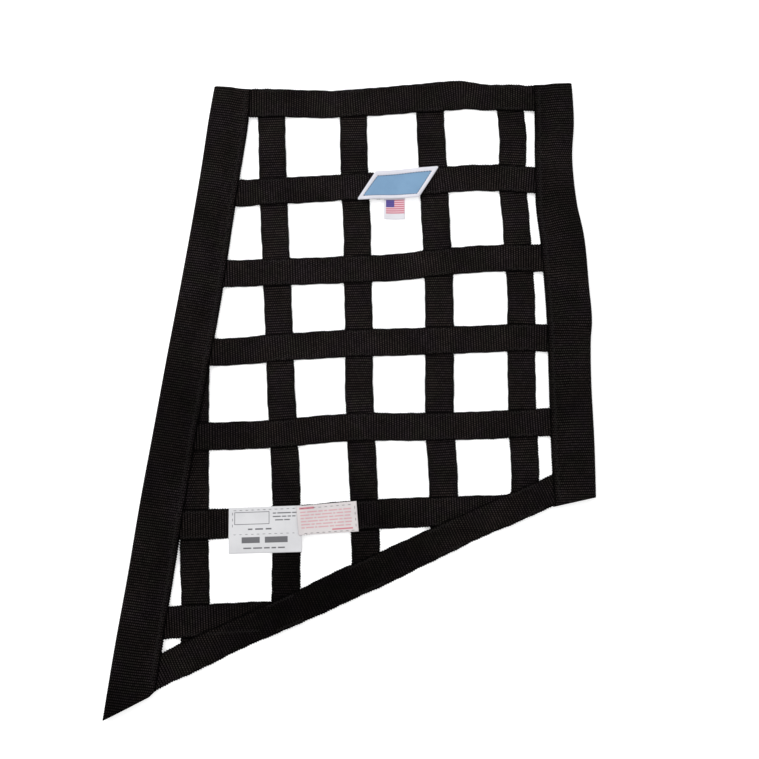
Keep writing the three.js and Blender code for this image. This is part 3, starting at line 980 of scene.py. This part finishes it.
# The grooves' colour is painted shade between the ribs; the lighter crown colours stand partly for
# painted highlight on the ribs
GROOVE_SHADE = (0.0003, 0.0003, 0.0003, 1)
RIBBON_BLACK = webbing_material("ribbon webbing", GROOVE_SHADE, (0.0373, 0.0291, 0.027, 1), 0.00195)
SLEEVE_BLACK = webbing_material("sleeve webbing", GROOVE_SHADE, (0.0345, 0.027, 0.0252, 1), 0.0018)
BLACK_THREAD = thread_material("black thread", (0.016, 0.0142, 0.0138, 1), 0.06)
DARK_THREAD = thread_material("dark thread", (0.04, 0.045, 0.07, 1), 0.1)
GREY_THREAD = thread_material("grey thread", (0.1, 0.1, 0.11, 1), 0.15)
PATCH_BLUE = label_material(
    "patch field", (0.198, 0.342, 0.515, 1), (0.16, 0.285, 0.45, 1), [], spacing=0.0007, roughness=0.7
)
PATCH_WHITE = label_material(
    "patch border", (0.72, 0.71, 0.77, 1), (0.6, 0.6, 0.66, 1), [], spacing=0.001
)

# Flag tab: thirteen stripes and a plain canton, from the tab's lower left corner
FLAG_LEFT, FLAG_RIGHT, FLAG_FOOT, FLAG_HEAD, CANTON_RIGHT = 1.9, 18.9, 5.4, 17.8, 9.6
STRIPES = 13
STRIPES_UNDER_CANTON = 6
stripe = (FLAG_HEAD - FLAG_FOOT) / STRIPES
red_stripes = [
    (FLAG_LEFT, FLAG_RIGHT, FLAG_FOOT + k * stripe, FLAG_FOOT + (k + 1) * stripe)
    for k in range(0, STRIPES, 2)
]
canton = [(FLAG_LEFT, CANTON_RIGHT, FLAG_FOOT + STRIPES_UNDER_CANTON * stripe, FLAG_HEAD)]
whole_flag = [(FLAG_LEFT, FLAG_RIGHT, FLAG_FOOT, FLAG_HEAD)]
FLAG_CLOTH = label_material(
    "flag cloth",
    (0.74, 0.73, 0.78, 1),
    (0.64, 0.64, 0.68, 1),
    [
        (whole_flag, (0.78, 0.5, 0.56, 1), 0.8),
        (red_stripes, (0.53, 0.12, 0.18, 1), 0.95),
        (canton, (0.062, 0.053, 0.265, 1), 0.95),
    ],
)


def blocks(left, foot, height, lengths, gap=1.0):
    """A line of plain blocks of the given lengths, from left to right."""
    bars = []
    for length in lengths:
        bars.append((left, left + length, foot, foot + height))
        left += length + gap
    return bars


# Certificate label: an empty box and lines of plain blocks
certificate_lines = [
    *framed(5, 36, 25, 36, 0.55),
    *blocks(39, 33.8, 1.0, [3, 12, 4]),
    *blocks(39, 30.8, 1.0, [7, 4, 3, 3]),
    *blocks(41, 27.8, 1.0, [7, 5]),
    *blocks(17, 20.2, 1.3, [4, 7, 5], 2.4),
    *blocks(11.5, 8.8, 5.2, [16, 20], 4.5),
    *blocks(13, 3.8, 1.2, [7, 8, 5, 4, 6], 1.6),
]
CERTIFICATE_CLOTH = label_material(
    "certificate cloth",
    (0.69, 0.69, 0.705, 1),
    (0.6, 0.6, 0.62, 1),
    [(certificate_lines, (0.05, 0.05, 0.06, 1), 0.85)],
)
word_lengths = [[3, 7, 2, 9, 4, 8, 5], [8, 3, 5, 9, 2, 6, 6], [5, 9, 4, 3, 8, 3, 7]]
small_label_lines = [
    bar for k in range(6) for bar in blocks(3, 5.6 + 2.7 * k, 1.1, word_lengths[k % 3], 1.0)
]
small_label_heads = [(2.6, 15.5, 22.2, 23.9), (30, 48.5, 2.6, 3.9)]
SMALL_LABEL_CLOTH = label_material(
    "small label cloth",
    (0.68, 0.64, 0.64, 1),
    (0.58, 0.54, 0.55, 1),
    [(small_label_lines, (0.6, 0.12, 0.18, 1), 0.5), (small_label_heads, (0.55, 0.07, 0.13, 1), 0.75)],
)

# The sheets of the net: node, strip, rank and cuts
across_cuts = [LEFT_SEAM_END, RIGHT_SEAM_END]
ribbons = [
    (f"upright_{i + 1}", strip, "surface", [SLANTED_END]) for i, strip in enumerate(upright_strips)
]
ribbons += [("upright_at_sleeve", sleeve_upright, "upright", [SLANTED_END, LEFT_SEAM_END])]
ribbons += [(f"row_{i + 2}", strip, "row", across_cuts) for i, strip in enumerate(row_strips[:-1])]
ribbons += [("row_6", row_strips[-1], "row", [LEFT_SEAM_END, SLANTED_END])]
ribbons += [("row_7", foot_row, "row", [LEFT_SEAM_END, SLANTED_END])]
ribbons += [("top_ribbon", top_ribbon, "row", across_cuts)]
ribbons += [("slanted_ribbon", slanted_ribbon, "slant", across_cuts)]
strips = {node: strip for node, strip, _, _ in ribbons}
for seed, (node, strip, rank, cuts) in enumerate(ribbons):
    name = f"{node}_webbing"
    ribbon(name, node, strip, RANK[rank], RIBBON_BLACK, cuts, seed, rank == "surface")
sleeves = {
    "sleeve_left": (left_sleeve, 1, [LEFT_SLEEVE_TOP, LEFT_SLEEVE_FOOT, LEFT_SLEEVE_CORNER]),
    "sleeve_right": (right_sleeve, -1, [RIGHT_SLEEVE_TOP, RIGHT_SLEEVE_FOOT]),
}
for seed, (node, (strip, side, cuts)) in enumerate(sleeves.items()):
    sleeve(f"{node}_webbing", node, strip, side, SLEEVE_BLACK, cuts, seed + 3)


def webbing_top(rank):
    """The upper face of a ribbon of that rank, a little sunk, for the threads that lie on it."""

    def top(x, y, *_):
        return height_under(x, y, rank) + WEBBING - THREAD_SINK

    return top


def sewn_crossing(strip, x, y, reach, rank):
    """Two zigzag rows along the over ribbon's edges, across the ribbon under it."""
    u = strip.nearest(x, y)
    from_middle = float(strip.width(u)) / 2 - CROSSING_FROM_EDGE
    threads = []
    for offset in (-from_middle, from_middle):
        args = (u - reach, u + reach, offset, CROSSING_SWING, CROSSING_PITCH)
        threads += zigzag(strip, *args, webbing_top(rank))
    return threads


stitching = {}
for j, strip in enumerate([top_ribbon, *row_strips]):
    node = f"row_{j + 1}" if j else "top_ribbon"
    # Row 6 ends before the last upright
    crossed = UPRIGHTS[:-1] if node == "row_6" else UPRIGHTS
    stitching[node] = []
    for upright in crossed:
        x = upright["x"][j]
        y = float(np.interp(x, *strip.points[:, :2].T))
        stitching[node] += sewn_crossing(strip, x, y, CROSSING_REACH, RANK["row"])
stitching |= {"row_7": [], "slanted_ribbon": []}
for node, (x, y) in SLEEVE_CROSSINGS.items():
    stitching[node] += sewn_crossing(strips[node], x, y, CROSSING_REACH, RANK["row"])
for x, y in SLANTED_CROSSINGS:
    stitching["slanted_ribbon"] += sewn_crossing(slanted_ribbon, x, y, SLANTED_REACH, RANK["slant"])
foot_seam = Strip(FOOT_SEAM)
stitching["slanted_ribbon"] += zigzag(
    foot_seam, 0, foot_seam.length, 0, CROSSING_SWING, CROSSING_PITCH, webbing_top(RANK["slant"])
)
stitch_pieces = {
    node: sewn(f"{node}_stitching", threads, BLACK_THREAD, "ribbon_webbing")
    for node, threads in stitching.items()
}


def sleeve_seam(strip, side, start, end):
    """The zigzag row that closes a sleeve, just inside its inner edge."""

    def top(x, y, u, aside):
        stop = strip.width(u) / 2 - side * aside
        return over_layer_height(x, y, stop) + WEBBING - THREAD_SINK

    threads = []
    stretch = 4 * SEAM_PITCH
    for a in np.arange(start, end, stretch):
        b = min(a + stretch, end)
        middle = side * (float(strip.width((a + b) / 2)) / 2 - SEAM_FROM_EDGE)
        threads += zigzag(strip, a, b, middle, SEAM_SWING, SEAM_PITCH, top)
    return threads


for node, (strip, side, cuts) in sleeves.items():
    threads = sleeve_seam(strip, side, SEAM_TOP, strip.length - SEAM_FOOT[node])
    stitch_pieces[node] = sewn(f"{node}_stitching", threads, BLACK_THREAD, "sleeve_webbing")

# Labels on the webbing
certificate = label(
    "certificate", "certificate_label", CERTIFICATE, RANK["certificate"], CERTIFICATE_CLOTH,
    "label_cloth", CERTIFICATE_CURL,
)
small_label = label(
    "small_printed_label", "small_label", SMALL_LABEL, RANK["small_label"], SMALL_LABEL_CLOTH,
    "label_cloth",
)
flag_tab = label("flag_tab_cloth", "flag_tab", FLAG, RANK["flag"], FLAG_CLOTH, "flag_tab", FLAG_CURL)


def label_stitching(name, rows, rank):
    """Straight rows of stitches on a label."""

    def top(x, y):
        return height_under(x, y, rank, LABEL_RAMP) + LABEL_LIFT + LABEL_THICKNESS + LABEL_THREAD_LIFT

    threads = []
    for start, end in rows:
        threads += dashes(start, end, LABEL_STITCH, LABEL_STITCH_PITCH, top)
    return sewn(name, threads, GREY_THREAD, "label_cloth", LABEL_THREAD)


certificate_stitching = label_stitching("certificate_stitching", CERTIFICATE_ROWS, RANK["certificate"])
small_label_stitching = label_stitching("small_label_stitching", SMALL_LABEL_ROWS, RANK["small_label"])


def rounded_outline(corners, radius, side_points):
    """Points round a four-sided outline with rounded corners, the given number along each side."""
    points = np.array(corners, float)
    turns = []
    for before, here, after in zip(np.roll(points, 1, axis=0), points, np.roll(points, -1, axis=0)):
        back, forth = unit(before - here), unit(after - here)
        half_angle = math.acos(np.clip(back @ forth, -1, 1)) / 2
        centre = here + unit(back + forth) * radius / math.sin(half_angle)
        start = here + back * radius / math.tan(half_angle) - centre
        turn = -(math.pi - 2 * half_angle)
        angle = turn * np.linspace(0, 1, 7)[:, None]
        sideways = np.array([-start[1], start[0]])
        turns.append(centre + start * np.cos(angle) + sideways * np.sin(angle))
    outline = []
    for turned, following, count in zip(turns, [*turns[1:], turns[0]], side_points):
        part = np.linspace(0, 1, count + 2)[1:-1, None]
        outline += [turned, turned[-1] + (following[0] - turned[-1]) * part]
    return np.vstack([*outline, outline[0][:1]])


def patch_border(name):
    """The overlocked border of the patch: a low bead round its window, wrapped in thread."""
    sides = np.linalg.norm(np.roll(PATCH, -1, axis=0) - np.array(PATCH), axis=1)
    counts = [round(side / BORDER_STEP) for side in sides]
    outer = rounded_outline(PATCH, PATCH_CORNER, counts)
    inner = rounded_outline(PATCH_WINDOW, WINDOW_CORNER, counts)
    line = (outer + inner) / 2
    half = (outer - inner) / 2
    u = np.concatenate([[0], np.cumsum(np.hypot(*np.diff(line, axis=0).T))])
    angle = np.linspace(0, 2 * np.pi, BORDER_AROUND, endpoint=False)
    wrap = 1 + WRAP_SWELL * np.cos(2 * np.pi * u / WRAP_PITCH)[:, None]
    flat = line[:, None] + half[:, None] * (np.cos(angle) * wrap)[..., None]
    base = height_under(line[:, 0], line[:, 1], RANK["patch"], LABEL_RAMP)[:, None]
    up = base + BORDER_HEIGHT + BORDER_BULGE * np.sin(angle) * wrap
    rings = np.concatenate([flat, up[..., None]], -1)
    rings[-1] = rings[0]
    along = np.broadcast_to(u[:, None], up.shape)
    wide = np.broadcast_to(angle, up.shape)
    maps = {"weave": np.stack([along, wide], -1), "edge": np.stack([wide * 0 + 2, wide * 0], -1)}
    return skinned(name, rings, maps, PATCH_WHITE, "name_patch")


def patch_top(x, y):
    return height_under(x, y, RANK["patch"], LABEL_RAMP) + PATCH_THICKNESS + PATCH_THREAD_LIFT


patch_cloth = (np.array(PATCH) + np.array(PATCH_WINDOW)) / 2
patch_field = label(
    "patch_field", "name_patch", patch_cloth, RANK["patch"], PATCH_BLUE, "name_patch",
    thickness=PATCH_THICKNESS, lift=PATCH_LIFT,
)
border = patch_border("patch_border")
patch_threads = []
for start, end in zip(PATCH_WINDOW, [*PATCH_WINDOW[1:], PATCH_WINDOW[0]]):
    patch_threads += dashes(start, end, PATCH_STITCH, PATCH_STITCH_PITCH, patch_top)
patch_stitching = sewn("patch_stitching", patch_threads, DARK_THREAD, "name_patch", PATCH_THREAD)


# What each sheet was cut to in metres: its webbing's width and the length kept between its cuts
for node, strip, rank, cuts in ribbons:
    flat = (INCH * MM, kept_length(strip, cuts) * MM)
for node, (strip, side, cuts) in sleeves.items():
    flat = (SLEEVE_WEBBING_WIDTH * MM, kept_length(strip, cuts) * MM)

# Floor, light and camera
floor_material, floor_nodes, floor_shader = new_material("pale floor", 0.9, 0.1)
floor_shader["Emission Color"].default_value = (1, 1, 1, 1)
floor_shader["Emission Strength"].default_value = 0.45
floor_place = floor_nodes.put("TexCoord").outputs["Object"]
paper = floor_nodes.ranged(floor_nodes.noise(floor_place, 3.0, 3.0), 0.3, 0.7)
floor_nodes.feed(
    floor_shader["Base Color"], floor_nodes.blend(paper, (0.93, 0.93, 0.93, 1), (0.95, 0.95, 0.95, 1))
)
floor_mesh = bpy.data.meshes.new("floor")
bm = bmesh.new()
bmesh.ops.create_grid(bm, x_segments=8, y_segments=8, size=30)
bmesh.ops.translate(bm, vec=(0, 0, -0.0004), verts=bm.verts)
bm.to_mesh(floor_mesh)
bm.free()
floor_mesh.materials.append(floor_material)
floor = bpy.data.objects.new("floor", floor_mesh)
bpy.context.scene.collection.objects.link(floor)

world = bpy.data.worlds.new("studio")
bpy.context.scene.world = world
world.use_nodes = True
world.node_tree.nodes["Background"].inputs["Color"].default_value = (1, 1, 1, 1)
world.node_tree.nodes["Background"].inputs["Strength"].default_value = 0.65


def area_light(name, place, size, power):
    """A square soft light that faces the net."""
    light = bpy.data.lights.new(name, "AREA")
    light.size = size
    light.energy = power
    lamp = bpy.data.objects.new(name, light)
    lamp.location = place
    lamp.rotation_euler = (AIM - Vector(place)).to_track_quat("-Z", "Y").to_euler()
    bpy.context.scene.collection.objects.link(lamp)


area_light("key_softbox", (-1.3, 1.5, 1.9), 1.6, 45)
area_light("fill_softbox", (1.6, -1.0, 1.7), 1.6, 10)

camera_data = bpy.data.cameras.new("camera")
camera_data.lens = LENS_MM
camera_data.sensor_width = SENSOR_MM
camera_data.clip_start = 0.01
camera = bpy.data.objects.new("camera", camera_data)
back = Vector((0, -math.sin(CAMERA_TILT), math.cos(CAMERA_TILT)))
camera.location = AIM + back * CAMERA_DISTANCE
camera.rotation_euler = (CAMERA_TILT, 0, 0)
bpy.context.scene.collection.objects.link(camera)
bpy.context.scene.camera = camera
bpy.context.scene.view_settings.view_transform = "Standard"

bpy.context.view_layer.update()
